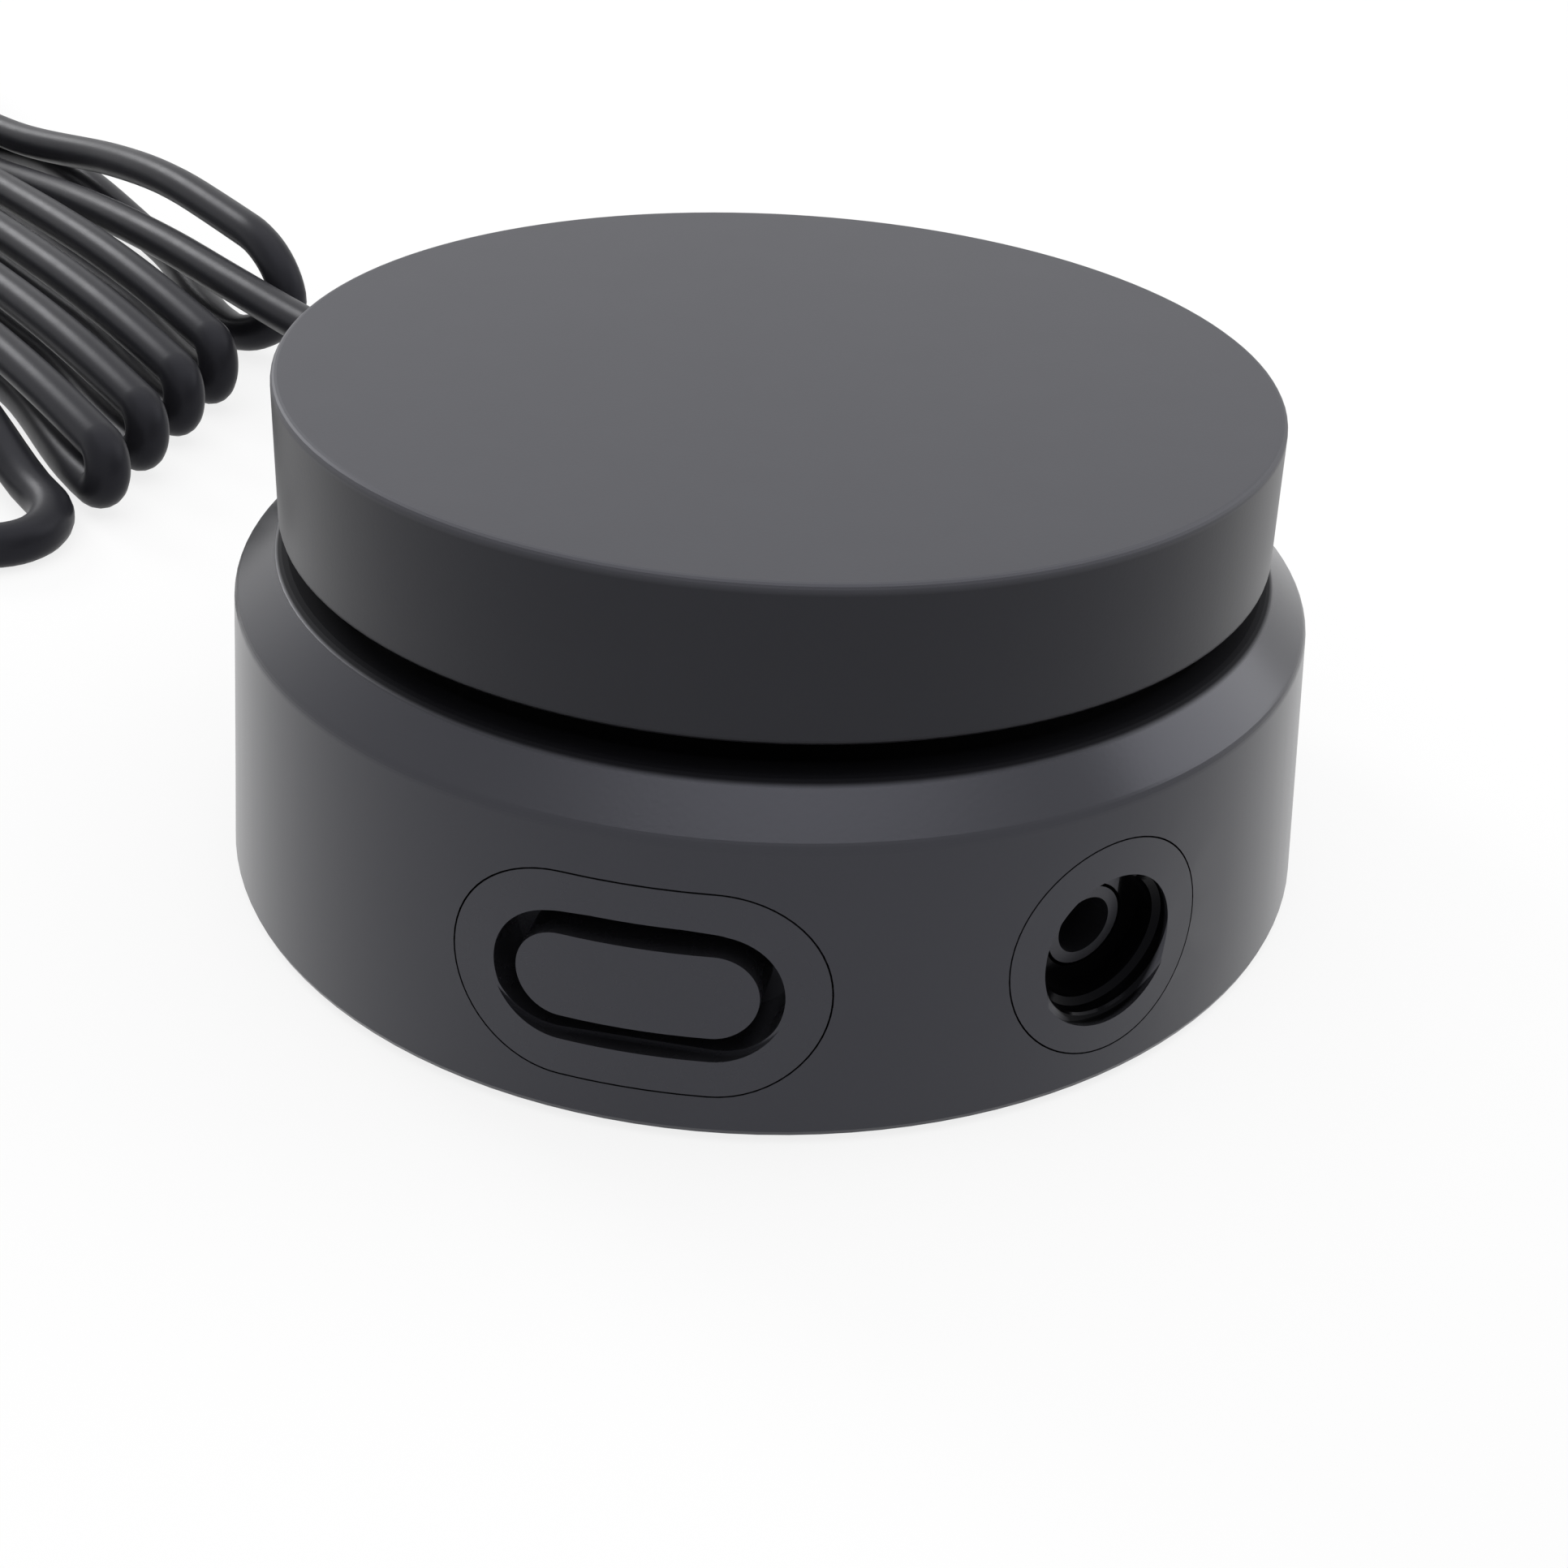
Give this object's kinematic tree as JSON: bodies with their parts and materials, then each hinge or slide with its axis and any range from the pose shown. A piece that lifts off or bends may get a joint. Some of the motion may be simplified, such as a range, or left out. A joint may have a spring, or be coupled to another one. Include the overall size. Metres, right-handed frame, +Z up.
{
  "type": "inline usb audio controller",
  "caption": "Round desk-top USB audio controller with a turning, pressing dial, a pill-shaped mode button, a headset socket and a lead folded into a hank.",
  "frame": {"origin": "middle of the round footprint, on the surface that it stands on", "axes": "+Z up along the dial's axis, headset socket facing -Y, lead leaving at +Y"},
  "size_m": [0.0969, 0.2654, 0.0314],
  "materials": {
    "housing": "fine matt grey",
    "dial": "fine matt grey",
    "insert": "fine matt grey",
    "foot": "soft matt black",
    "screw_steel": "plated",
    "board": "solder mask",
    "black_moulding": "glossy black",
    "switch_black": "matt black",
    "encoder_brass": "turned",
    "contact_metal": "plated",
    "nylon": "natural",
    "can_metal": "drawn",
    "wire": "insulation",
    "lead_jacket": "satin dark jacket",
    "plug_metal": "plated"
  },
  "bodies": {
    "housing": {"base_shell": "housing", "base_plate": "housing", "foot_ring": "foot", "base_screws": "screw_steel", "button_bezel": "insert", "jack_bezel": "insert", "main_board": "board", "board_screws": "screw_steel", "encoder_housing": "switch_black", "encoder_bushing": "encoder_brass", "encoder_washer": "screw_steel", "encoder_nut": "encoder_brass", "encoder_pins": "contact_metal", "jack_housing": "black_moulding", "jack_contacts": "contact_metal", "codec_chip": "switch_black", "crystal": "can_metal", "capacitors": "can_metal", "cable_header": "nylon", "header_plug": "nylon", "cable_leads": "wire", "strain_relief": "lead_jacket", "tact_switch_body": "switch_black", "tact_switch_cover": "screw_steel", "usb_cable": "lead_jacket", "cable_hank": "lead_jacket", "plug_lead": "lead_jacket", "cable_tie": "switch_black", "usb_plug_overmould": "lead_jacket", "usb_plug_shell": "plug_metal", "usb_plug_tongue": "nylon", "usb_plug_contacts": "contact_metal"},
    "press_plate": {"encoder_plunger": "nylon"},
    "dial": {"dial_cap": "dial", "dial_hub": "switch_black", "encoder_shaft": "screw_steel", "encoder_rotor": "contact_metal"},
    "button": {"mode_button": "insert", "button_clip": "nylon", "tact_plunger": "switch_black"}
  },
  "joints": [
    {"name": "dial_press", "type": "slide", "parent": "housing", "child": "press_plate", "axis": [0, 0, -1], "range_m": [0, 0.0005], "stiffness_N_per_m": 4000, "springref_m": -0.0005},
    {"name": "dial_turn", "type": "hinge", "parent": "press_plate", "child": "dial", "pos_m": [0, 0, 0.022], "axis": [0, 0, 1], "continuous": true},
    {"name": "mode_press", "type": "slide", "parent": "housing", "child": "button", "axis": [0.7071, 0.7071, 0], "range_m": [0, 0.0005], "stiffness_N_per_m": 2000, "springref_m": -0.0005}
  ]
}
